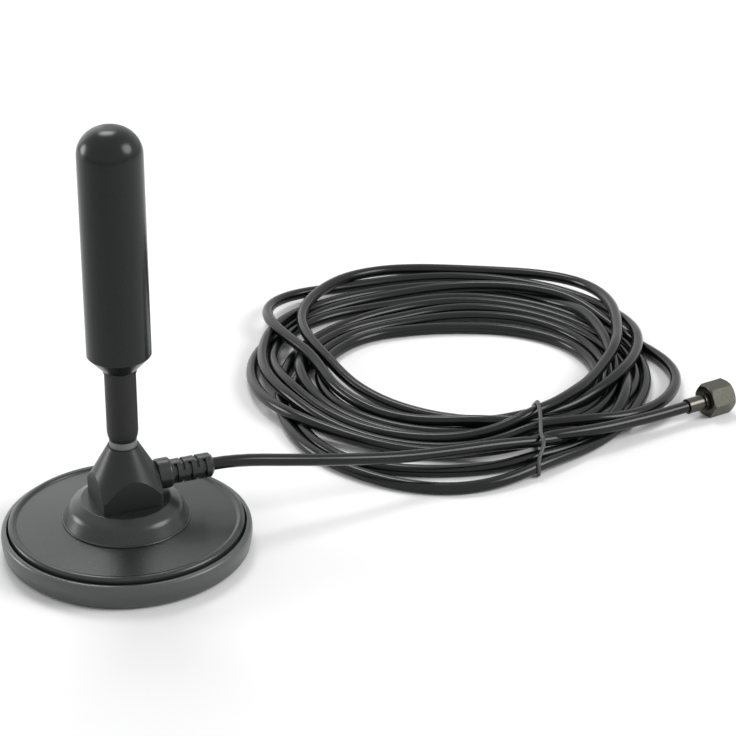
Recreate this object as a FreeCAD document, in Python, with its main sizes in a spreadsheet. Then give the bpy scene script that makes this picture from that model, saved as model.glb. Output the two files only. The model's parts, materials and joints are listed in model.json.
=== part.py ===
import FreeCAD, Part
import math
import os
from types import SimpleNamespace

import Sketcher

# Magnetic indoor TV antenna: a short thick whip on a round magnetic base, with a thin coax
# lead, the tied coil of that lead and a screw-on plug at its far end.
# Millimetres. +Z is up, the origin is the middle of the underside, +X is the way the lead leaves.

SIZES = {
    # Foot pad and lower shell
    "pad_thickness": 0.8,
    "pad_inset": 4.0,
    "pad_proud": 0.3,
    "shell_floor": 1.6,
    "shell_lip": 1.5,
    "shell_foot_inset": 0.5,
    "shell_bulge": 0.4,
    "shell_bulge_height": 5.8,
    "shell_foot_round": 2.0,
    "shell_bulge_round": 8.0,
    "shell_lip_round": 1.2,
    # Magnet and its keeper plate
    "magnet_radius": 30.4,
    "magnet_bore": 12.0,
    "magnet_thickness": 4.6,
    "plate_thickness": 1.2,
    "magnet_gap": 1.0,
    # Top cover of the base: disc, edge bead, skirt and mound
    "cover_wall": 1.6,
    "cover_step": 1.2,
    "lid_gap": 0.2,
    "groove_width": 0.7,
    "skirt_wall": 1.8,
    "bead_width": 2.0,
    "bead_height": 0.7,
    "bead_round": 1.2,
    "disc_crown": 1.3,
    "mound_margin": 0.25,
    "mound_shoulder": 3.6,
    "mound_foot": 6.4,
    "mound_lip": 0.5,
    "mound_lip_height": 0.7,
    "mound_lip_round": 0.35,
    "flank_height": 5.2,
    "shoulder_height": 2.0,
    "shoulder_round": 4.0,
    "mound_top_round": 0.8,
    "rib_radius": 26.0,
    "rib_width": 2.0,
    "post_radius": 3.0,
    "post_bite": 0.6,
    # Screws
    "screw_core": 1.1,
    "screw_head": 2.1,
    "screw_head_height": 1.0,
    "screw_grip": 4.4,
    "boss_screw_grip": 6.0,
    "boss_post": 2.2,
    "boss_post_bite": 0.4,
    # Boss that carries the whip and takes the lead
    "boss_width": 20.4,
    "boss_height": 19.4,
    "boss_corner": 1.5,
    "boss_wall": 2.5,
    "boss_roof": 9.1,
    "cone_top": 5.2,
    "cone_slope": 0.567,
    # Whip: collar, neck, cover and the rod inside
    "collar_radius": 4.5,
    "collar_height": 2.3,
    "spigot_radius": 3.0,
    "spigot_length": 6.0,
    "neck_radius": 5.1,
    "neck_length": 24.3,
    "neck_end_inset": 0.75,
    "neck_end_height": 3.2,
    "neck_bend_inset": 0.22,
    "neck_bend_height": 1.45,
    "neck_plug_radius": 3.8,
    "neck_plug_length": 8.0,
    "mast_radius": 10.4,
    "mast_length": 83.1,
    "mast_wall": 1.8,
    "mast_lip": 0.35,
    "mast_lip_height": 0.8,
    "mast_flare": 5.4,
    "mast_dome": 9.0,
    "rod_radius": 1.2,
    "rod_top_gap": 14.0,
    # Feed inside the boss
    "feed_radius": 2.3,
    "feed_height": 6.6,
    "feed_drop": 2.2,
    "core_radius": 0.4,
    "dielectric_radius": 1.0,
    "braid_radius": 1.5,
    "strip_length": 1.3,
    "strap_width": 3.0,
    "strap_thickness": 0.4,
    "strap_foot": 4.0,
    "strap_slot": 0.9,
    # Cable and its strain relief
    "cable_radius": 2.1,
    "boot_height": 6.2,
    "boot_flange": 4.2,
    "boot_flange_length": 1.4,
    "boot_neck": 3.1,
    "boot_seat": 0.3,
    "boot_collar": 5.1,
    "boot_collar_length": 5.2,
    "boot_radius": 4.1,
    "boot_length": 14.2,
    "boot_end_chamfer": 0.9,
    "slot_width": 1.1,
    "slot_depth": 0.9,
    "slot_pitch": 2.45,
    "slot_start": 0.7,
    "slot_angle": 126.0,
    # Tied coil
    "coil_x": 150.0,
    "coil_front": 10.0,
    "coil_radius": 62.0,
    "coil_top": 11.5,
    "tie_angle": -86.0,
    "tie_slant": 26.0,
    "tie_wire": 0.7,
    # Plug
    "plug_x": 213.0,
    "plug_y": 11.1,
    "plug_heading": 10.0,
    "sleeve_lip": 1.5,
    "sleeve_length": 6.4,
    "sleeve_wall": 0.6,
    "sleeve_collar": 3.4,
    "sleeve_collar_length": 1.4,
    "plug_neck": 2.9,
    "plug_flange": 4.0,
    "plug_flange_length": 1.6,
    "plug_bore": 1.6,
    "nut_flats": 11.0,
    "nut_length": 9.6,
    "nut_back_wall": 1.8,
    "nut_bore": 4.38,
    "nut_chamfer": 0.55,
    "pin_proud": 1.8,
    # Clearances
    "fit": 0.05,
    "running": 0.06,
    "screw_gap": 0.2,
    "nut_play": 0.2,
    "rest_gap": 0.1,
    "tie_gap": 0.3,
}

# Route of the lead past its exit, and of the tail before the plug: chosen points
LEAD_STRAIGHT = 8.0
LEAD = [(58.0, 0.3, 20.3), (76.0, -0.2, 17.1), (96.0, 0.4, 13.4), (116.0, 1.2, 11.3), (136.0, 2.6, 9.6)]
TAIL = [(158.4, 4.3, 7.9), (173.9, 4.3, 7.2), (187.6, 6.7, 6.3)]
TAIL_STRAIGHT = 13.0

# Outline of the coil at even steps round its middle, from the tie on: how far it reaches inward
# and outward of its radius, and the height of its underside
COIL = [(26.0, 17.0, 1.8), (19.0, 15.5, 0.3), (18.5, 18.0, 0.3), (24.5, 30.0, 0.3), (28.0, 28.0, 0.3),
        (18.0, 20.0, 0.3), (22.0, 17.0, 0.3), (26.0, 29.0, 0.3)]
COIL_FILL = 2

# Shares: of a step that its round takes, and of a cable run that the round of a corner takes
ROUND_SHARE = 0.9
RUN_SHARE = 0.45

doc = FreeCAD.newDocument("tv_antenna")
sheet = doc.addObject("Spreadsheet::Sheet", "dim")
for row, (alias, number) in enumerate(SIZES.items(), start=1):
    sheet.set("A%d" % row, alias)
    sheet.set("B%d" % row, str(number))
    sheet.setAlias("B%d" % row, alias)
doc.recompute()


class Size:
    """A length with the sheet formula that it comes from; arithmetic keeps both."""

    def __init__(self, text, value):
        self.text = text
        self.value = value

    def __add__(self, other):
        return joined(self, "+", other, self.value + as_size(other).value)

    def __sub__(self, other):
        return joined(self, "-", other, self.value - as_size(other).value)

    def __mul__(self, other):
        return joined(self, "*", other, self.value * as_size(other).value)

    def __rsub__(self, other):
        return as_size(other) - self

    __radd__ = __add__
    __rmul__ = __mul__

    def __neg__(self):
        return Size("(-%s)" % self.text, -self.value)


def as_size(thing):
    return thing if isinstance(thing, Size) else Size("(%r)" % float(thing), float(thing))


def joined(left, sign, right, value):
    return Size("(%s %s %s)" % (left.text, sign, as_size(right).text), value)


d = SimpleNamespace(**{alias: Size("dim.%s" % alias, sheet.get(alias)) for alias in SIZES})


def bind(thing, slot, size):
    thing.setExpression(slot, as_size(size).text)


def vector(*places):
    return FreeCAD.Vector(*[as_size(place).value for place in places])


# Drawings: sketches on a body's own origin planes, every point pinned by sheet formulas

def origin(owner, role):
    return next(item for item in owner.Origin.OriginFeatures if item.Role == role)


def drawing_on(owner, role, lift=0, aside=0):
    """A sketch on an origin plane, lifted along its normal and moved aside along its X."""
    drawing = owner.newObject("Sketcher::SketchObject", "drawing")
    drawing.AttachmentSupport = (origin(owner, role), [""])
    drawing.MapMode = "FlatFace"
    bind(drawing, "AttachmentOffset.Base.z", lift)
    bind(drawing, "AttachmentOffset.Base.x", aside)
    return drawing


def pin(drawing, item, point, x, y):
    for kind, place, axis in (("DistanceX", x, -2), ("DistanceY", y, -1)):
        if isinstance(place, Size):
            rule = Sketcher.Constraint(kind, -1, 1, item, point, place.value)
            bind(drawing, "Constraints[%d]" % drawing.addConstraint(rule), place)
        else:
            drawing.addConstraint(Sketcher.Constraint("PointOnObject", item, point, axis))


def polygon(drawing, corners):
    """A closed outline; a corner's 0 puts it on that axis of the drawing."""
    first = drawing.GeometryCount
    spots = [vector(x, y, 0) for x, y in corners]
    for start, end in zip(spots, spots[1:] + spots[:1]):
        drawing.addGeometry(Part.LineSegment(start, end))
    last = len(corners) - 1
    for index, (x, y) in enumerate(corners):
        before = first + (last if index == 0 else index - 1)
        drawing.addConstraint(Sketcher.Constraint("Coincident", before, 2, first + index, 1))
        pin(drawing, first + index, 1, x, y)


def rectangle(drawing, left, right, low, high):
    polygon(drawing, [(left, low), (right, low), (right, high), (left, high)])


def circle(drawing, x, y, radius):
    item = drawing.addGeometry(Part.Circle(vector(x, y, 0), FreeCAD.Vector(0, 0, 1), radius.value))
    pin(drawing, item, 3, x, y)
    rule = Sketcher.Constraint("Radius", item, radius.value)
    bind(drawing, "Constraints[%d]" % drawing.addConstraint(rule), radius)


# Features of a body

def new_body(label, z=None):
    owner = doc.addObject("PartDesign::Body", label)
    owner.AllowCompound = True
    if z is not None:
        bind(owner, "Placement.Base.z", z)
    return owner


def settle(owner, feature, grows):
    """Recompute and make sure that the feature changed the body the way it should."""
    before = feature.BaseFeature.Shape.Volume if feature.BaseFeature else 0.0
    doc.recompute()
    change = feature.Shape.Volume - before
    if (change > 0) != grows or abs(change) < 1e-6:
        raise RuntimeError("%s: %s does nothing" % (owner.Label, feature.Name))
    return feature


def turn(owner, corners, role="XZ_Plane", axis="V_Axis", cut=False, aside=0):
    drawing = drawing_on(owner, role, aside=aside)
    polygon(drawing, corners)
    return turn_drawing(owner, drawing, axis, cut)


def turn_drawing(owner, drawing, axis, cut, angle=360):
    feature = owner.newObject("PartDesign::Groove" if cut else "PartDesign::Revolution", "turned")
    feature.Profile = (drawing, [""])
    feature.ReferenceAxis = (drawing, [axis])
    bind(feature, "Angle", angle)
    feature.Midplane = isinstance(angle, Size)
    return settle(owner, feature, not cut)


def extrude(owner, drawing, length, cut=False, back=False, both=False):
    feature = owner.newObject("PartDesign::Pocket" if cut else "PartDesign::Pad", "extruded")
    feature.Profile = (drawing, [""])
    bind(feature, "Length", length)
    feature.Reversed = back
    feature.Midplane = both
    return settle(owner, feature, not cut)


def around(owner, features, axis, count):
    """The features repeated evenly round one of the body's origin axes."""
    pattern = owner.newObject("PartDesign::PolarPattern", "around")
    pattern.Originals = features
    pattern.Axis = (origin(owner, axis), [""])
    pattern.Angle = 360
    pattern.Occurrences = count
    owner.Tip = pattern
    doc.recompute()
    return pattern


def soften(owner, radius, picked):
    """Round the edges of the body that the test picks."""
    base = owner.Tip
    names = ["Edge%d" % (index + 1) for index, edge in enumerate(base.Shape.Edges) if picked(edge)]
    if not names:
        raise RuntimeError("%s: no edge to round" % owner.Label)
    feature = owner.newObject("PartDesign::Fillet", "softened")
    feature.Base = (base, names)
    bind(feature, "Radius", radius)
    doc.recompute()
    return feature


def ring(radius, place, axis="z"):
    """A test for a round edge of this radius at this place along an axis."""
    def picked(edge):
        if not isinstance(edge.Curve, Part.Circle):
            return False
        off = getattr(edge.Curve.Center, axis) - as_size(place).value
        return abs(edge.Curve.Radius - radius.value) < 1e-4 and abs(off) < 1e-4
    return picked


def upright(edge):
    line = edge.Vertexes[0].Point - edge.Vertexes[-1].Point
    return isinstance(edge.Curve, Part.Line) and abs(line.z) > 0.99 * line.Length


# Heights and radii that several pieces share

pad_top = d.pad_thickness
floor_top = pad_top + d.shell_floor
magnet_top = floor_top + d.magnet_thickness
plate_top = magnet_top + d.plate_thickness
cover_under = plate_top + d.lid_gap
cover_edge = cover_under + d.cover_wall
shell_top = cover_edge - d.cover_step
foot_z = cover_edge + d.disc_crown
shoulder_z = foot_z + d.flank_height
mound_z = shoulder_z + d.shoulder_height
mound_under = mound_z - d.cover_wall
boss_z = mound_z + d.boss_height
chamber_z = boss_z - d.boss_roof
boot_z = mound_z + d.boot_height
collar_z = boss_z + d.collar_height
neck_z = collar_z + d.neck_length
plug_in_mast_z = neck_z + d.neck_plug_length
mast_z = neck_z + d.mast_length

post_circle = d.magnet_radius + d.magnet_gap + d.post_radius
skirt_inner = post_circle + d.post_radius - d.post_bite
cover_radius = skirt_inner + d.skirt_wall
shell_inner = cover_radius + d.groove_width
shell_radius = shell_inner + d.shell_lip
pad_radius = shell_radius - d.pad_inset
boss_half = d.boss_width * 0.5
mound_radius = d.boss_width * math.sqrt(0.5) + d.mound_margin
shoulder_radius = mound_radius + d.mound_shoulder
foot_radius = mound_radius + d.mound_foot
chamber_radius = boss_half - d.boss_wall
boss_post_at = chamber_radius - d.boss_post + d.boss_post_bite
screw_hole = d.screw_core + d.screw_gap
pilot = d.screw_core + d.fit

# Places along the lead's exit, of the coil and along the plug
seat_x = chamber_radius + d.boot_seat
flange_x = seat_x - d.boot_flange_length
boot_end = boss_half + d.boot_collar_length + d.boot_length
dielectric_x = d.feed_radius + d.strap_thickness
braid_x = dielectric_x + d.strip_length
jacket_x = braid_x + d.strip_length
strap_x = braid_x + (d.strip_length - d.strap_thickness) * 0.5
coil_y = d.coil_front + d.coil_radius
plug_z = d.nut_flats * 0.5 + d.rest_gap
nut_back = d.sleeve_length + d.nut_play
flange_back = nut_back + d.nut_back_wall + d.nut_play


def disc(label, radius, low, height):
    made = doc.addObject("Part::Cylinder", label)
    bind(made, "Radius", radius)
    bind(made, "Height", height)
    bind(made, "Placement.Base.z", low)


def lower_shell():
    """Shallow cup with a slightly barrelled wall, a seat for the foot pad and screw holes."""
    shell = new_body("lower_shell")
    seat = pad_radius + d.screw_gap
    foot = shell_radius - d.shell_foot_inset
    bulge = shell_radius + d.shell_bulge
    bulge_z = d.pad_proud + d.shell_bulge_height
    turn(shell, [(0, pad_top), (seat, pad_top), (seat, d.pad_proud), (foot, d.pad_proud),
                 (bulge, bulge_z), (shell_radius, shell_top), (shell_inner, shell_top),
                 (shell_inner, floor_top), (0, floor_top)])
    soften(shell, d.shell_foot_round, ring(foot, d.pad_proud))
    soften(shell, d.shell_bulge_round, ring(bulge, bulge_z))
    soften(shell, d.shell_lip_round, ring(shell_radius, shell_top))
    head = d.screw_head + d.screw_gap
    hole = turn(shell, [(0, pad_top), (head, pad_top), (screw_hole, pad_top + d.screw_head_height),
                        (screw_hole, floor_top), (0, floor_top)], cut=True, aside=post_circle)
    around(shell, [hole], "Z_Axis", 3)


def ring_magnet():
    magnet = new_body("ring_magnet")
    turn(magnet, [(d.magnet_bore, floor_top), (d.magnet_radius, floor_top),
                  (d.magnet_radius, magnet_top), (d.magnet_bore, magnet_top)])


def base_cover():
    """Crowned disc with a beaded edge and a skirt, a mound for the boss, and inside it the
    rib that holds the magnet down and the posts for the screws."""
    cover = new_body("base_cover")
    wall = d.cover_wall
    bead_z = cover_edge + d.bead_height
    bead_out = cover_radius - d.bead_height
    bead_in = cover_radius - d.bead_width
    lip_z = foot_z + d.mound_lip_height
    turn(cover, [(cover_radius, floor_top), (cover_radius, cover_edge), (bead_out, bead_z),
                 (bead_in, bead_z), (bead_in - d.bead_height, cover_edge), (foot_radius, foot_z),
                 (foot_radius, lip_z), (foot_radius - d.mound_lip, lip_z),
                 (shoulder_radius, shoulder_z), (mound_radius, mound_z), (0, mound_z),
                 (0, mound_under), (mound_radius - wall, mound_under),
                 (shoulder_radius - wall, shoulder_z - wall), (foot_radius - wall, foot_z - wall),
                 (skirt_inner, cover_under), (skirt_inner, floor_top)])
    soften(cover, d.bead_round, lambda e: ring(bead_out, bead_z)(e) or ring(bead_in, bead_z)(e))
    soften(cover, d.mound_lip_round, ring(foot_radius, lip_z))
    soften(cover, d.shoulder_round, ring(shoulder_radius, shoulder_z))
    soften(cover, d.mound_top_round, ring(mound_radius, mound_z))
    rib_top = cover_under + d.cover_wall * 0.5
    turn(cover, [(d.rib_radius, plate_top), (d.rib_radius + d.rib_width, plate_top),
                 (d.rib_radius + d.rib_width, rib_top), (d.rib_radius, rib_top)])
    post = drawing_on(cover, "XY_Plane", lift=floor_top)
    circle(post, post_circle, 0, d.post_radius)
    posts = extrude(cover, post, rib_top - floor_top)
    grip = floor_top + d.screw_grip
    hole = turn(cover, [(0, floor_top), (pilot, floor_top), (pilot, grip), (0, grip)],
                cut=True, aside=post_circle)
    around(cover, [posts, hole], "Z_Axis", 3)
    ports = drawing_on(cover, "XY_Plane", lift=mound_z)
    circle(ports, 0, boss_post_at, screw_hole)
    circle(ports, 0, -boss_post_at, screw_hole)
    side = d.strap_width * 0.5 + d.strap_slot
    rectangle(ports, strap_x - d.strap_slot, strap_x + d.strap_thickness + d.strap_slot, -side, side)
    extrude(cover, ports, d.cover_wall, cut=True)


def base_screws():
    """Three countersunk screws, up through the lower shell into the cover's posts."""
    screws = new_body("base_screws")
    tip = floor_top + d.screw_grip - d.screw_gap
    screw = turn(screws, [(0, pad_top), (d.screw_head, pad_top),
                          (d.screw_core, pad_top + d.screw_head_height), (d.screw_core, tip), (0, tip)],
                 aside=post_circle)
    around(screws, [screw], "Z_Axis", 3)


def mast_boss():
    """Square block sharpened to a cone like a pencil, hollow below, bored for the collar's
    spigot and for the strain relief, with two screw posts in its chamber."""
    boss = new_body("mast_boss")
    block = drawing_on(boss, "XY_Plane", lift=mound_z)
    rectangle(block, -boss_half, boss_half, -boss_half, boss_half)
    extrude(boss, block, d.boss_height)
    soften(boss, d.boss_corner, upright)
    cone_base = d.cone_top + d.boss_height * d.cone_slope
    reach = cone_base + d.boss_width
    turn(boss, [(d.cone_top, boss_z), (reach, boss_z), (reach, mound_z), (cone_base, mound_z)], cut=True)
    spigot = d.spigot_radius + d.fit
    turn(boss, [(0, mound_z), (chamber_radius, mound_z), (chamber_radius, chamber_z), (spigot, chamber_z),
                (spigot, boss_z), (0, boss_z)], cut=True)
    posts = drawing_on(boss, "XY_Plane", lift=mound_z)
    circle(posts, 0, boss_post_at, d.boss_post)
    circle(posts, 0, -boss_post_at, d.boss_post)
    extrude(boss, posts, chamber_z - mound_z)
    holes = drawing_on(boss, "XY_Plane", lift=mound_z)
    circle(holes, 0, boss_post_at, pilot)
    circle(holes, 0, -boss_post_at, pilot)
    extrude(boss, holes, d.boss_screw_grip, cut=True, back=True)
    for radius, length in ((d.boot_flange, seat_x), (d.boot_neck, boss_half)):
        port = drawing_on(boss, "YZ_Plane")
        circle(port, 0, boot_z, radius + d.fit)
        extrude(boss, port, length, cut=True, back=True)


def boss_screws():
    """Two pan-head screws, up through the mound into the boss."""
    screws = new_body("boss_screws")
    tip = mound_z + d.boss_screw_grip - d.screw_gap
    low = mound_under - d.screw_head_height
    screw = turn(screws, [(0, low), (d.screw_head, low), (d.screw_head, mound_under),
                          (d.screw_core, mound_under), (d.screw_core, tip), (0, tip)],
                 role="YZ_Plane", aside=boss_post_at)
    around(screws, [screw], "Z_Axis", 2)


def mast_collar():
    """Turned ferrule: the ring between boss and neck, with a spigot into each."""
    collar = new_body("mast_collar")
    bore = d.rod_radius + d.fit
    low = boss_z - d.spigot_length
    high = collar_z + d.spigot_length
    turn(collar, [(bore, low), (d.spigot_radius, low), (d.spigot_radius, boss_z),
                  (d.collar_radius, boss_z), (d.collar_radius, collar_z), (d.spigot_radius, collar_z),
                  (d.spigot_radius, high), (bore, high)])


def neck_sleeve():
    """Rubbery neck, drawn in at its lower end, plugged into the whip's cover."""
    neck = new_body("neck_sleeve")
    socket = d.spigot_radius + d.fit
    socket_z = collar_z + d.spigot_length + d.fit
    bore = d.rod_radius + d.screw_gap
    turn(neck, [(socket, collar_z), (d.neck_radius - d.neck_end_inset, collar_z),
                (d.neck_radius - d.neck_bend_inset, collar_z + d.neck_bend_height),
                (d.neck_radius, collar_z + d.neck_end_height), (d.neck_radius, neck_z),
                (d.neck_plug_radius, neck_z), (d.neck_plug_radius, plug_in_mast_z),
                (bore, plug_in_mast_z), (bore, socket_z), (socket, socket_z)])


def mast_cover():
    """Hollow whip cover: a short lip, a flare, a long tube and a domed end."""
    cover = new_body("mast_cover")
    lip = d.neck_radius + d.mast_lip
    flare_low = neck_z + d.mast_lip_height
    flare_high = flare_low + d.mast_flare
    turn(cover, [(0, neck_z), (lip, neck_z), (lip, flare_low), (d.mast_radius, flare_high),
                 (d.mast_radius, mast_z), (0, mast_z)])
    soften(cover, d.mast_dome, ring(d.mast_radius, mast_z))
    socket = d.neck_plug_radius + d.fit
    hollow = d.mast_radius - d.mast_wall
    hollow_z = mast_z - d.mast_wall
    turn(cover, [(0, neck_z), (socket, neck_z), (socket, plug_in_mast_z), (hollow, plug_in_mast_z),
                 (hollow, hollow_z - d.mast_dome), (hollow - d.mast_dome * 0.5, hollow_z),
                 (0, hollow_z)], cut=True)


def radiator_rod():
    """Brass rod from the feed socket, through collar and neck, up inside the cover."""
    low = boot_z + d.core_radius + d.fit
    disc("radiator_rod", d.rod_radius, low, mast_z - d.rod_top_gap - low)


def feed_socket():
    """Turned socket that takes the rod from above and the cable's core from the side."""
    socket = new_body("feed_socket")
    low = boot_z - d.feed_drop
    high = low + d.feed_height
    bore = d.rod_radius + d.fit
    rod_low = boot_z + d.core_radius + d.fit
    turn(socket, [(0, low), (d.feed_radius, low), (d.feed_radius, high), (bore, high),
                  (bore, rod_low), (0, rod_low)])
    port = drawing_on(socket, "YZ_Plane")
    circle(port, 0, boot_z, d.core_radius + d.fit)
    extrude(socket, port, d.feed_radius, cut=True, back=True)


def coax_end():
    """The cable inside the strain relief and the boss, stripped in steps down to its core."""
    end = new_body("coax_end", boot_z)
    steps = [(d.core_radius, d.fit), (d.dielectric_radius, dielectric_x), (d.braid_radius, braid_x),
             (d.cable_radius, jacket_x)]
    corners = [(d.fit, 0)]
    for index, (radius, start) in enumerate(steps):
        stop = steps[index + 1][1] if index + 1 < len(steps) else boot_end
        corners += [(start, radius), (stop, radius)]
    turn(end, corners + [(boot_end, 0)], role="XY_Plane", axis="H_Axis")


def ground_strap():
    """Copper strip from under the braid down to the keeper plate, its foot bent flat."""
    strap = new_body("ground_strap")
    drawing = drawing_on(strap, "XZ_Plane")
    top = boot_z - d.braid_radius - d.fit
    knee = plate_top + d.strap_thickness
    outer = strap_x + d.strap_thickness
    polygon(drawing, [(strap_x, top), (strap_x, plate_top), (strap_x + d.strap_foot, plate_top),
                      (strap_x + d.strap_foot, knee), (outer, knee), (outer, top)])
    extrude(strap, drawing, d.strap_width, both=True)


def strain_relief():
    """Moulded boot: a flange behind the boss wall, a rounded collar in front of it, and a
    flexible stem whose slots lie by turns on the sides and on the top and underside."""
    boot = new_body("strain_relief", boot_z)
    bore = d.cable_radius + d.fit
    stem = boss_half + d.boot_collar_length
    tip = d.boot_radius - d.boot_end_chamfer
    turn(boot, [(flange_x, bore), (flange_x, d.boot_flange), (seat_x, d.boot_flange),
                (seat_x, d.boot_neck), (boss_half, d.boot_neck), (boss_half, d.boot_collar),
                (stem, d.boot_collar), (stem, d.boot_radius), (boot_end - d.boot_end_chamfer, d.boot_radius),
                (boot_end, tip), (boot_end, bore)], role="XY_Plane", axis="H_Axis")
    soften(boot, (d.boot_collar - d.boot_radius) * ROUND_SHARE,
           lambda e: ring(d.boot_collar, stem, "x")(e) or ring(d.boot_collar, boss_half, "x")(e))
    for role, numbers in (("XY_Plane", (0, 2, 4)), ("XZ_Plane", (1, 3))):
        slots = drawing_on(boot, role)
        for number in numbers:
            start = stem + d.slot_start + d.slot_pitch * number
            rectangle(slots, start, start + d.slot_width, d.boot_radius - d.slot_depth, d.boot_radius * 1.5)
        cut = turn_drawing(boot, slots, "H_Axis", True, d.slot_angle)
        around(boot, [cut], "X_Axis", 2)


# Cable: tubes of straight runs and tangent arcs, and the outer shape of the coil

def tube(label, points, radius):
    """A tube along the points, each corner rounded as widely as its two runs allow."""
    spots = [FreeCAD.Vector(*point) for point in points]
    edges = []
    start = spots[0]
    for before, corner, after in zip(spots, spots[1:], spots[2:]):
        inward = (corner - before).normalize()
        outward = (after - corner).normalize()
        turned = inward.getAngle(outward)
        cut = RUN_SHARE * min((corner - before).Length, (after - corner).Length)
        bend = cut / math.tan(turned / 2)
        print("%s bend radius %.1f mm" % (label, bend))
        first = corner - inward * cut
        last = corner + outward * cut
        middle = corner + (outward - inward).normalize() * (bend / math.cos(turned / 2) - bend)
        edges.append(Part.LineSegment(start, first).toShape())
        edges.append(Part.Arc(first, middle, last).toShape())
        start = last
    edges.append(Part.LineSegment(start, spots[-1]).toShape())
    path = Part.Wire(edges)
    section = Part.Wire(Part.makeCircle(radius, spots[0], spots[1] - spots[0]))
    solid = path.makePipeShell([section], True, False)
    expected = math.pi * radius ** 2 * path.Length
    print("%s length %.1f mm, volume %.1f of %.1f" % (label, path.Length, solid.Volume, expected))
    made = doc.addObject("Part::Feature", label)
    made.Shape = solid


def cable_lead():
    exits = [(boot_end.value + run, 0, boot_z.value) for run in (0, LEAD_STRAIGHT)]
    tube("cable_lead", exits + LEAD, d.cable_radius.value)


def cable_tail():
    heading = math.radians(d.plug_heading.value)
    end = vector(d.plug_x, d.plug_y, plug_z)
    straight = end - FreeCAD.Vector(math.cos(heading), math.sin(heading), 0) * TAIL_STRAIGHT
    tube("cable_tail", TAIL + [tuple(straight), tuple(end)], d.cable_radius.value)


def radial_turn(angle):
    """Stands a flat figure up in the upright plane through the coil's middle at this angle."""
    return FreeCAD.Rotation(FreeCAD.Vector(0, 0, 1), angle) * FreeCAD.Rotation(FreeCAD.Vector(1, 0, 0), 90)


def at_coil(angle, aside, z):
    """A place at this angle round the coil's middle, this far outward of its radius."""
    turned = math.radians(angle)
    radius = d.coil_radius + aside
    return vector(d.coil_x + radius * math.cos(turned), coil_y + radius * math.sin(turned), z)


def eased(before, start, end, after, share):
    """A smooth value between start and end that also heeds the values beyond them."""
    slope = (end - before) * share / 2
    bow = (2 * before - 5 * start + 4 * end - after) * share ** 2 / 2
    twist = (3 * start - before - 3 * end + after) * share ** 3 / 2
    return start + slope + bow + twist


def cable_coil():
    """Flattened ring that the tied turns lie in: narrow at the tie, wide where they fan out."""
    count = len(COIL)
    sections = []
    for number in range(count * COIL_FILL):
        step, rest = divmod(number, COIL_FILL)
        near = [COIL[(step + shift) % count] for shift in (-1, 0, 1, 2)]
        inward, outward, under = (eased(*values, rest / COIL_FILL) for values in zip(*near))
        angle = d.tie_angle.value + 360 * number / (count * COIL_FILL)
        figure = doc.addObject("Part::Ellipse", "coil_section")
        figure.MajorRadius = (outward + inward) / 2
        bind(figure, "MinorRadius", (d.coil_top - under) * 0.5)
        place = at_coil(angle, (outward - inward) / 2, (d.coil_top + under) * 0.5)
        figure.Placement = FreeCAD.Placement(place, radial_turn(angle))
        sections.append(figure)
    loft = doc.addObject("Part::Loft", "cable_coil")
    loft.Sections = sections
    loft.Solid = True
    loft.Closed = True


def cable_tie():
    """Wire tie, one round-ended loop laid aslant about the narrow part of the coil."""
    inward, outward, under = COIL[0]
    gap = d.tie_gap + d.tie_wire
    half = (d.coil_top - under) * 0.5 + gap
    across = (outward + inward) / 2 / math.cos(math.radians(d.tie_slant.value))
    reach = across + gap - half
    tie = new_body("cable_tie")
    path = drawing_on(tie, "XY_Plane")
    for side in (1, -1):
        low = vector(reach * side, half * -side, 0)
        high = vector(reach * side, half * side, 0)
        path.addGeometry(Part.Arc(low, vector((reach + half) * side, 0, 0), high))
        path.addGeometry(Part.LineSegment(high, vector(reach * -side, half * side, 0)))
    wire = drawing_on(tie, "YZ_Plane")
    circle(wire, half, 0, d.tie_wire)
    pipe = tie.newObject("PartDesign::AdditivePipe", "wire")
    pipe.Profile = (wire, [""])
    pipe.Spine = (path, [""])
    middle = at_coil(d.tie_angle.value, (outward - inward) / 2, (d.coil_top + under) * 0.5)
    tie.Placement = FreeCAD.Placement(middle, radial_turn(d.tie_angle.value - d.tie_slant.value))


# Plug: pieces turned about their own X, which is then laid along the plug's heading

def on_plug(owner):
    """Lay a piece of the plug on its place beside the coil."""
    owner.Placement.Rotation = FreeCAD.Rotation(FreeCAD.Vector(0, 0, 1), d.plug_heading.value)
    bind(owner, "Placement.Base.x", d.plug_x)
    bind(owner, "Placement.Base.y", d.plug_y)
    bind(owner, "Placement.Base.z", plug_z)
    bind(owner, "Placement.Rotation.Angle", d.plug_heading)


def plug_piece(label, corners):
    piece = new_body(label)
    turn(piece, corners, role="XY_Plane", axis="H_Axis")
    on_plug(piece)
    return piece


def crimp_sleeve():
    inner = d.cable_radius + d.fit
    outer = inner + d.sleeve_wall
    collar_x = d.sleeve_length - d.sleeve_collar_length
    plug_piece("crimp_sleeve", [(-d.sleeve_lip, inner), (-d.sleeve_lip, outer), (collar_x, outer),
                                (collar_x, d.sleeve_collar), (d.sleeve_length, d.sleeve_collar),
                                (d.sleeve_length, inner)])


def connector_body():
    """Post inside the sleeve, neck for the nut to turn on, and the flange that keeps it."""
    end = flange_back + d.plug_flange_length
    plug_piece("connector_body", [(0, d.plug_bore), (0, d.cable_radius), (d.sleeve_length, d.cable_radius),
                                  (d.sleeve_length, d.plug_neck), (flange_back, d.plug_neck),
                                  (flange_back, d.plug_flange), (end, d.plug_flange), (end, d.plug_bore)])


def connector_insulator():
    end = flange_back + d.plug_flange_length
    outer = d.plug_bore - d.fit
    inner = d.core_radius + d.fit
    plug_piece("connector_insulator", [(d.fit, inner), (d.fit, outer), (end, outer), (end, inner)])


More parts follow.
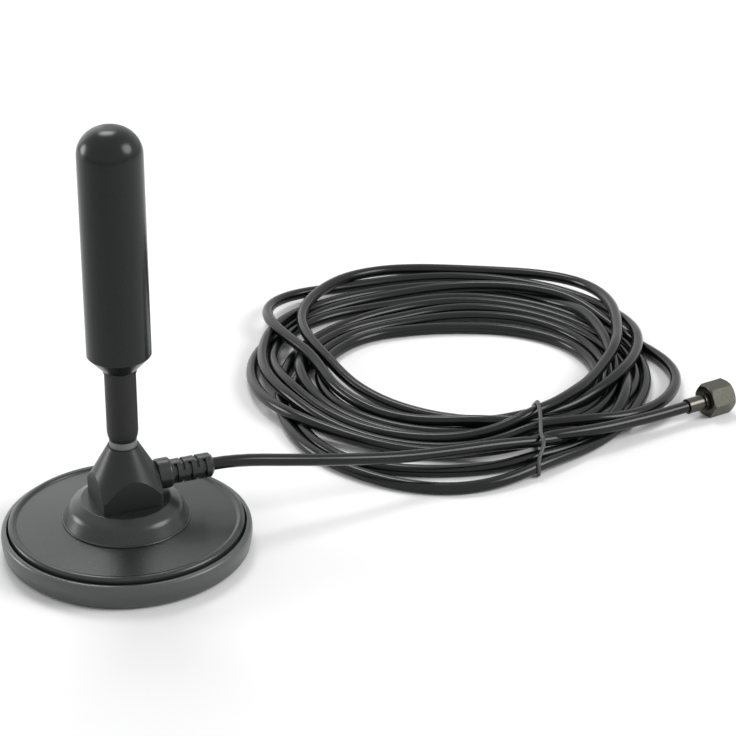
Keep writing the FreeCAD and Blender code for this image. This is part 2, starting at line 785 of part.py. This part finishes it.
def centre_conductor():
    end = nut_back + d.nut_length + d.pin_proud
    tip = d.core_radius * 0.5
    plug_piece("centre_conductor", [(d.fit, 0), (d.fit, d.core_radius), (end - tip, d.core_radius),
                                    (end, tip), (end, 0)])


def coupling_nut():
    """Hexagon nut with chamfered ends, a back wall that turns on the neck and a wide bore."""
    nut = new_body("coupling_nut")
    half = d.nut_flats * 0.5
    corner = half * (2 / math.sqrt(3))
    hexagon = drawing_on(nut, "YZ_Plane", lift=nut_back)
    polygon(hexagon, [(corner, 0), (corner * 0.5, half), (corner * -0.5, half), (-corner, 0),
                      (corner * -0.5, -half), (corner * 0.5, -half)])
    extrude(nut, hexagon, d.nut_length)
    front = nut_back + d.nut_length
    reach = corner + d.nut_chamfer
    for face, inward in ((nut_back, d.nut_chamfer), (front, -d.nut_chamfer)):
        turn(nut, [(face, half), (face, reach), (face + inward, reach), (face + inward, corner)],
             role="XY_Plane", axis="H_Axis", cut=True)
    back = nut_back + d.nut_back_wall
    neck = d.plug_neck + d.running
    turn(nut, [(nut_back, 0), (nut_back, neck), (back, neck), (back, d.nut_bore), (front, d.nut_bore),
               (front, 0)], role="XY_Plane", axis="H_Axis", cut=True)
    on_plug(nut)


disc("foot_pad", pad_radius, 0, pad_top)
lower_shell()
ring_magnet()
disc("steel_plate", d.magnet_radius, magnet_top, d.plate_thickness)
base_cover()
base_screws()
mast_boss()
boss_screws()
mast_collar()
neck_sleeve()
mast_cover()
radiator_rod()
feed_socket()
coax_end()
ground_strap()
strain_relief()
cable_lead()
cable_coil()
cable_tail()
cable_tie()
crimp_sleeve()
connector_body()
connector_insulator()
centre_conductor()
coupling_nut()
doc.recompute()

failed = [item.Name for item in doc.Objects if {"Invalid", "Error"} & set(item.State)]
if failed:
    raise RuntimeError("failed objects: %s" % ", ".join(failed))
kinds = ("PartDesign::Body", "Part::Cylinder", "Part::Feature", "Part::Loft")
pieces = [item for item in doc.Objects if item.TypeId in kinds]
for piece in pieces:
    if piece.Shape.isNull() or not piece.Shape.isValid():
        raise RuntimeError("bad shape: %s" % piece.Label)
os.makedirs("parts", exist_ok=True)
for piece in pieces:
    piece.Shape.exportStep("parts/%s.step" % piece.Label)
    print("%s: %d solid, %.1f mm3" % (piece.Label, len(piece.Shape.Solids), piece.Shape.Volume))
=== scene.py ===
import json
import math

import bpy
import numpy as np
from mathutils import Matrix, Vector


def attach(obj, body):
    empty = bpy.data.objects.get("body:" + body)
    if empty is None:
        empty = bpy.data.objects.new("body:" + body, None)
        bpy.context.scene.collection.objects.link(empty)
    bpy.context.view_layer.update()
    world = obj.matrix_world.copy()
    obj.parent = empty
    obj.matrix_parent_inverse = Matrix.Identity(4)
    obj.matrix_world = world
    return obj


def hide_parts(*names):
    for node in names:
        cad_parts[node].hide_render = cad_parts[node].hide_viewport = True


# Magnetic indoor TV antenna, dressed: the cord with its tied coil, the finishes and the studio.
# Metres, in the frame of the CAD model.

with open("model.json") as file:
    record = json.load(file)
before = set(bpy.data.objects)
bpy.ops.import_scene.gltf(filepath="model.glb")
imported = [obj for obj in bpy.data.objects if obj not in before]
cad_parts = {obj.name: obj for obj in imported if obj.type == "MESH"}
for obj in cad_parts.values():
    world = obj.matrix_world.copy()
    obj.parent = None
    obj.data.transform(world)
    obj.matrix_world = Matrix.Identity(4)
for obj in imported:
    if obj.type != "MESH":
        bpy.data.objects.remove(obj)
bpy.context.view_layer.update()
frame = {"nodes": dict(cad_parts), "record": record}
nodes = frame["nodes"]
scene = bpy.context.scene
MM = 0.001

# Camera

IMAGE_WIDTH = 736
FOCAL_PIXELS = 2684.8
SENSOR = 36.0
CAMERA_PLACE = (-0.2055, -0.7371, 0.4517)
CAMERA_DOWN = 26.902
CAMERA_HEADING = -21.5

lens = bpy.data.cameras.new("camera")
lens.sensor_width = SENSOR
lens.lens = SENSOR * FOCAL_PIXELS / IMAGE_WIDTH
camera = bpy.data.objects.new("camera", lens)
camera.location = CAMERA_PLACE
camera.rotation_euler = (math.radians(90 - CAMERA_DOWN), 0, math.radians(CAMERA_HEADING))
scene.collection.objects.link(camera)
scene.camera = camera

# Cord: the lead from the strain relief, the turns of the coil, and the tail up to the plug

CABLE_RADIUS = 2.1 * MM
LEAD = [(0.0296, 0.0, 0.0247), (0.0376, 0.0, 0.0247), (0.058, 0.0003, 0.0203),
        (0.076, -0.0002, 0.0171), (0.096, 0.0004, 0.0134), (0.116, 0.0012, 0.0113),
        (0.136, 0.0026, 0.0096)]
TAIL = [(0.1584, 0.0043, 0.0079), (0.1739, 0.0043, 0.0072), (0.1876, 0.0067, 0.0063),
        (0.2002, 0.00884, 0.0056), (0.213, 0.0111, 0.0056)]

# Each turn's radius in millimetres at the tie and every 30 degrees on from it, counter-clockwise,
# then its place in the pile on its first and on its second half, from the floor up
COIL_MIDDLE = (0.150, 0.072)
TIE_ANGLE = -86.0
TURNS = [
    ((69, 62.5, 62, 62, 62, 60.5, 57, 58, 63, 71, 81.5, 86), 0, 0),
    ((71, 64.5, 65, 66, 65.5, 64.5, 62.5, 70, 71, 64, 60, 57), 1, 4),
    ((51, 49.5, 52, 64.5, 85.5, 84.5, 87, 73, 50.5, 40.5, 37, 39), 7, 8),
    ((45, 50, 53, 48.5, 41.5, 37.5, 40, 48, 51, 51, 50, 49), 0, 2),
    ((48.6, 54, 63.5, 74, 80, 83, 83, 86.5, 57, 50, 46, 44), 5, 7),
    ((48.5, 52.5, 55, 54, 51.5, 47, 45, 50, 59, 70, 79.5, 74), 1, 1),
    ((68.3, 64, 60.5, 58.5, 57, 55, 51, 55.5, 58.5, 57, 54, 52), 2, 3),
    ((53, 57, 58, 61, 69, 73, 74, 75.5, 71.5, 67.5, 66, 62), 3, 5),
    ((57.4, 72, 75.5, 63.5, 65, 69, 69.5, 75, 77.5, 74, 65, 62.5), 4, 2),
]
LAST_RADIUS = 67.5
DIRECTIONS = 12

# Steps in a turn, steps over which lead and tail come down, and the height that the lead comes from
STEPS = 96
ENTRY = 12
ENTRY_HEIGHT = 7.0 * MM

# The pile: the rise from one place to the next, the rounds that even out those rises, the distance
# that strands keep, and how far apart along the cord two steps count as two strands
PILE_STEP = 3.0 * MM
EVENING = 60
STRAND_PITCH = 2.07 * CABLE_RADIUS
NEAR = 2.5 * STRAND_PITCH
OWN_STRAND = 4 * STRAND_PITCH

# Its settling: rounds, rounds between two looks for near strands, the first round's sinking, and
# the shares of an overlap that a round undoes and of a sideways shift that it keeps
ROUNDS = 500
LOOK_EVERY = 10
SINK = 0.12 * MM
GIVING_WAY = 0.8
KEPT_SHIFT = 0.998

# Wire tie: where it lies across the strands and how wide a hump it makes in them
TIE_WIRE = 0.7 * MM
TIE_MIDDLE = (0.154, 0.0146)
TIE_HEADING = math.radians(-112.0)
TIE_SPREAD = 10.0 * MM

# A wire's spline: its order, its steps between two control points, and those in its cross-section
SPLINE_ORDER = 3
SPLINE_STEPS = 4
RING_STEPS = 4


def eased(before, start, end, after, share):
    """A smooth value between start and end that also heeds the values beyond them."""
    slope = (end - before) * share / 2
    bow = (2 * before - 5 * start + 4 * end - after) * share ** 2 / 2
    twist = (3 * start - before - 3 * end + after) * share ** 3 / 2
    return start + slope + bow + twist


def drawn_turns():
    """The turns as drawn, on the floor but lifted over the tie's wire and towards lead and tail."""
    radii = [radius for turn in TURNS for radius in turn[0]] + [LAST_RADIUS]
    radii = [radii[0], *radii, radii[-1], radii[-1]]
    count = len(TURNS) * STEPS
    spots = []
    for number in range(count + 1):
        step, rest = divmod(number, STEPS // DIRECTIONS)
        radius = eased(*radii[step:step + 4], rest * DIRECTIONS / STEPS) * MM
        angle = math.radians(TIE_ANGLE + 360 * number / STEPS)
        x = COIL_MIDDLE[0] + radius * math.cos(angle)
        y = COIL_MIDDLE[1] + radius * math.sin(angle)
        ahead, beside = x - TIE_MIDDLE[0], y - TIE_MIDDLE[1]
        aside = beside * math.cos(TIE_HEADING) - ahead * math.sin(TIE_HEADING)
        on_wire = math.exp(-(aside / TIE_SPREAD) ** 2) if y < COIL_MIDDLE[1] else 0
        floor = CABLE_RADIUS + 2 * TIE_WIRE * on_wire
        lift = (ENTRY_HEIGHT - floor) * max(0, 1 - number / ENTRY) ** 2
        drop = (TAIL[0][2] - floor) * max(0, 1 - (count - number) / ENTRY) ** 2
        spots.append((x, y, floor + lift + drop))
    return np.array(spots)


def smoothed(values):
    """Each value but the first and last, moved towards its two neighbours."""
    return values[1:-1] + (values[:-2] - 2 * values[1:-1] + values[2:]) / 4


def strands_near(spots, apart):
    """Pairs of steps that lie close together, but this many steps or more apart along the cord."""
    gaps = np.linalg.norm(spots[:, None] - spots[None], axis=2)
    return np.nonzero(np.triu(gaps < NEAR, apart))


def piled(drawn):
    """The turns let down on one another: each gives way, stays smooth and sinks as it can."""
    shift = np.zeros_like(drawn)
    places = [place * PILE_STEP for turn in TURNS for place in turn[1:]]
    shift[:-1, 2] = np.repeat(places, STEPS // 2)
    numbers = np.arange(len(drawn))
    shift[:, 2] *= np.clip(np.minimum(numbers, numbers[::-1]) / ENTRY, 0, 1)
    for _ in range(EVENING):
        shift[1:-1, 2] = smoothed(shift[:, 2])
    pitch = np.median(np.linalg.norm(np.diff(drawn, axis=0), axis=1))
    apart = int(OWN_STRAND / pitch)
    for number in range(ROUNDS):
        if number % LOOK_EVERY == 0:
            one, other = strands_near(drawn + shift, apart)
        for _ in range(2):
            shift[1:-1] = smoothed(shift)
        shift[:, :2] *= KEPT_SHIFT
        shift[:, 2] -= SINK * (1 - number / ROUNDS)
        spots = drawn + shift
        between = spots[one] - spots[other]
        gaps = np.linalg.norm(between, axis=1) + 1e-9
        overlap = np.clip(STRAND_PITCH - gaps, 0, None)
        push = between * (GIVING_WAY * overlap / gaps)[:, None]
        moves = np.zeros_like(shift)
        hits = np.ones(len(shift))
        np.add.at(moves, one, push)
        np.add.at(moves, other, -push)
        np.add.at(hits, one, overlap > 0)
        np.add.at(hits, other, overlap > 0)
        shift += moves / np.sqrt(hits)[:, None]
        shift[:, 2] = np.maximum(shift[:, 2], 0)
        shift[[0, -1]] = 0
    return drawn + shift


def curve_object(name, points, radius, closed=False):
    """A round wire along a smooth spline with these control points."""
    data = bpy.data.curves.new(name, "CURVE")
    data.dimensions = "3D"
    spline = data.splines.new("NURBS")
    spline.points.add(len(points) - 1)
    for spot, point in zip(spline.points, points):
        spot.co = (*point, 1)
        spot.radius = radius
    spline.order_u = SPLINE_ORDER
    spline.use_cyclic_u = closed
    spline.use_endpoint_u = not closed
    spline.resolution_u = SPLINE_STEPS
    data.bevel_depth = 1.0
    data.bevel_resolution = RING_STEPS
    data.use_fill_caps = True
    made = bpy.data.objects.new(name, data)
    scene.collection.objects.link(made)
    return made


# Every second step of the turns is a control point
turns = piled(drawn_turns())
route = LEAD + [tuple(spot) for spot in turns[::2]] + TAIL
cable = curve_object("coax_cable", route, CABLE_RADIUS)
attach(cable, "antenna")
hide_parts("cable_lead", "cable_coil", "cable_tail")

# Wire tie: its loop outward along its heading, up, and aside along the strands, in millimetres

TIE = [(-19.6, 3, 0), (-19.2, 5.3, 0), (-16.8, 6.9, 0.2), (-11, 10.8, 0.6), (-8, 12.7, 0.9),
       (-1, 11.9, 1.4), (6, 10.7, 1.2), (13.2, 10.75, 0.9), (15.8, 10.3, 1.9), (18.5, 8.7, 1.6),
       (21.6, 6.8, 0.2), (24.6, 5.1, -0.2), (24.9, 2.2, -0.1), (24.1, 0.72, 0), (20, 0.7, 0),
       (-16, 0.7, 0), (-19, 0.72, 0)]
tie_middle = Vector((*TIE_MIDDLE, 0))
outward = Vector((math.cos(TIE_HEADING), math.sin(TIE_HEADING), 0))
along = Vector((-outward.y, outward.x, 0))
up = Vector((0, 0, 1))
loop = [tie_middle + (outward * out + up * high + along * side) * MM for out, high, side in TIE]
tie = curve_object("tie_wire", loop, TIE_WIRE, closed=True)
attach(tie, "antenna")
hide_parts("cable_tie")

# Materials: the grain's detail, the share of the tone that it changes and its depth, then the looks

GRAIN_DETAIL = 4.0
GRAIN_TONE = 0.15
GRAIN_DEPTH = 0.1 * MM
FINISHES = {
    "base_plastic": dict(colour=(0.019, 0.0222, 0.0208), roughness=0.28, grain=1400, bump=0.012,
                         specular=0.41, spread=0.02),
    "shell_plastic": dict(colour=(0.058, 0.064, 0.0615), roughness=0.32, grain=1400, specular=0.6),
    "boss_plastic": dict(colour=(0.012, 0.0145, 0.0132), roughness=0.34, specular=0.3),
    "whip_plastic": dict(colour=(0.007, 0.009, 0.008), roughness=0.24, grain=1600, specular=0.28,
                         spread=0.03),
    "neck_rubber": dict(colour=(0.012, 0.0135, 0.0122), roughness=0.5, specular=0.3),
    "boot_rubber": dict(colour=(0.01, 0.012, 0.0115), roughness=0.31, specular=0.48),
    "pad_rubber": dict(colour=(0.03, 0.03, 0.032), roughness=0.8),
    "collar_metal": dict(colour=(0.15, 0.155, 0.15), roughness=0.4),
    "cable_jacket": dict(colour=(0.0045, 0.0056, 0.005), roughness=0.2, grain=500, specular=0.3,
                         spread=0.04),
    "tie_plastic": dict(colour=(0.04, 0.042, 0.041), roughness=0.4),
    "nickel": dict(colour=(0.08, 0.078, 0.066), roughness=0.25, metallic=1.0),
    "white_insulator": dict(colour=(0.8, 0.8, 0.78), roughness=0.6),
    "copper": dict(colour=(0.72, 0.42, 0.26), roughness=0.3, metallic=1.0),
    "brass": dict(colour=(0.72, 0.58, 0.30), roughness=0.3, metallic=1.0),
    "ferrite": dict(colour=(0.05, 0.05, 0.055), roughness=0.7),
    "steel": dict(colour=(0.52, 0.52, 0.53), roughness=0.35, metallic=1.0),
}


def material(name, colour, roughness, grain=900.0, bump=0.05, metallic=0.0, specular=0.5,
             spread=0.06):
    """A moulded, turned or jacketed surface: a fine grain in its tone, gloss and relief."""
    made = bpy.data.materials.new(name)
    made.use_nodes = True
    tree = made.node_tree
    shader = tree.nodes["Principled BSDF"]
    shader.inputs["Metallic"].default_value = metallic
    shader.inputs["Specular IOR Level"].default_value = specular
    place = tree.nodes.new("ShaderNodeTexCoord")
    noise = tree.nodes.new("ShaderNodeTexNoise")
    noise.inputs["Scale"].default_value = grain
    noise.inputs["Detail"].default_value = GRAIN_DETAIL
    tree.links.new(place.outputs["Object"], noise.inputs["Vector"])
    gloss = tree.nodes.new("ShaderNodeMapRange")
    gloss.inputs["To Min"].default_value = roughness - spread
    gloss.inputs["To Max"].default_value = roughness + spread
    tree.links.new(noise.outputs["Fac"], gloss.inputs["Value"])
    tree.links.new(gloss.outputs["Result"], shader.inputs["Roughness"])
    tone = tree.nodes.new("ShaderNodeValToRGB")
    for element, share in zip(tone.color_ramp.elements, (1 - GRAIN_TONE, 1 + GRAIN_TONE)):
        element.color = (*[value * share for value in colour], 1)
    tree.links.new(noise.outputs["Fac"], tone.inputs["Fac"])
    tree.links.new(tone.outputs["Color"], shader.inputs["Base Color"])
    relief = tree.nodes.new("ShaderNodeBump")
    relief.inputs["Strength"].default_value = bump
    relief.inputs["Distance"].default_value = GRAIN_DEPTH
    tree.links.new(noise.outputs["Fac"], relief.inputs["Height"])
    tree.links.new(relief.outputs["Normal"], shader.inputs["Normal"])
    return made


finishes = {name: material(name, **look) for name, look in FINISHES.items()}
for subpart in frame["record"]["subparts"]:
    slots = nodes[subpart["node"]].data.materials
    slots.clear()
    slots.append(finishes[subpart["material_slot"]])
cable.data.materials.append(finishes["cable_jacket"])
tie.data.materials.append(finishes["tie_plastic"])

# Studio: a pale floor, a white surround that lights softly, and four round lamps

FLOOR_SIZE = 12.0
FLOOR_DROP = 0.02 * MM
PAPER_COLOUR = (0.95, 0.95, 0.95, 1)
PAPER_ROUGHNESS = 0.9
WHITE = (1, 1, 1, 1)
SOFT_STRENGTH = 0.42
SEEN_STRENGTH = 1.0

half = FLOOR_SIZE / 2
corners = [(-half, -half, 0), (half, -half, 0), (half, half, 0), (-half, half, 0)]
floor_mesh = bpy.data.meshes.new("studio_floor")
floor_mesh.from_pydata(corners, [], [(0, 1, 2, 3)])
floor = bpy.data.objects.new("studio_floor", floor_mesh)
floor.location.z = -FLOOR_DROP
scene.collection.objects.link(floor)

paper = bpy.data.materials.new("studio_paper")
paper.use_nodes = True
paper_shader = paper.node_tree.nodes["Principled BSDF"]
paper_shader.inputs["Base Color"].default_value = PAPER_COLOUR
paper_shader.inputs["Roughness"].default_value = PAPER_ROUGHNESS
floor_mesh.materials.append(paper)

# The surround is white to the camera and in reflections, and its light on the object is softer
world = bpy.data.worlds.new("studio")
world.use_nodes = True
scene.world = world
tree = world.node_tree
soft = tree.nodes["Background"]
soft.inputs["Color"].default_value = WHITE
soft.inputs["Strength"].default_value = SOFT_STRENGTH
bright = tree.nodes.new("ShaderNodeBackground")
bright.inputs["Color"].default_value = WHITE
bright.inputs["Strength"].default_value = SEEN_STRENGTH
path = tree.nodes.new("ShaderNodeLightPath")
seen = path.outputs["Is Camera Ray"]
for ray in ("Is Glossy Ray", "Is Transmission Ray"):
    either = tree.nodes.new("ShaderNodeMath")
    either.operation = "MAXIMUM"
    tree.links.new(seen, either.inputs[0])
    tree.links.new(path.outputs[ray], either.inputs[1])
    seen = either.outputs[0]
mix = tree.nodes.new("ShaderNodeMixShader")
tree.links.new(seen, mix.inputs["Fac"])
tree.links.new(soft.outputs[0], mix.inputs[1])
tree.links.new(bright.outputs[0], mix.inputs[2])
tree.links.new(mix.outputs[0], tree.nodes["World Output"].inputs["Surface"])

# The lamps' way from the middle of the object, their size, and their power in watts
MIDDLE = Vector((0.06, 0.03, 0.06))
LAMP_DISTANCE = 1.1
LAMPS = {
    "back_softbox": ((-0.2, 0.93, 0.33), 0.9, 1.5),
    "top_softbox": ((0.04, 0.52, 0.85), 0.45, 4.5),
    "left_softbox": ((-0.82, 0.52, 0.22), 0.45, 4.5),
    "right_softbox": ((0.67, -0.46, 0.55), 0.6, 7.1),
}


def softbox(name, way, size, power):
    """A round soft light this way from the middle of the object, aimed at it."""
    lamp = bpy.data.lights.new(name, "AREA")
    lamp.shape = "DISK"
    lamp.size = size
    lamp.energy = power
    made = bpy.data.objects.new(name, lamp)
    made.location = MIDDLE + Vector(way).normalized() * LAMP_DISTANCE
    made.rotation_euler = (MIDDLE - made.location).to_track_quat("-Z", "Y").to_euler()
    scene.collection.objects.link(made)


for lamp_name, lamp_values in LAMPS.items():
    softbox(lamp_name, *lamp_values)

scene.view_settings.view_transform = "Standard"

bpy.context.view_layer.update()
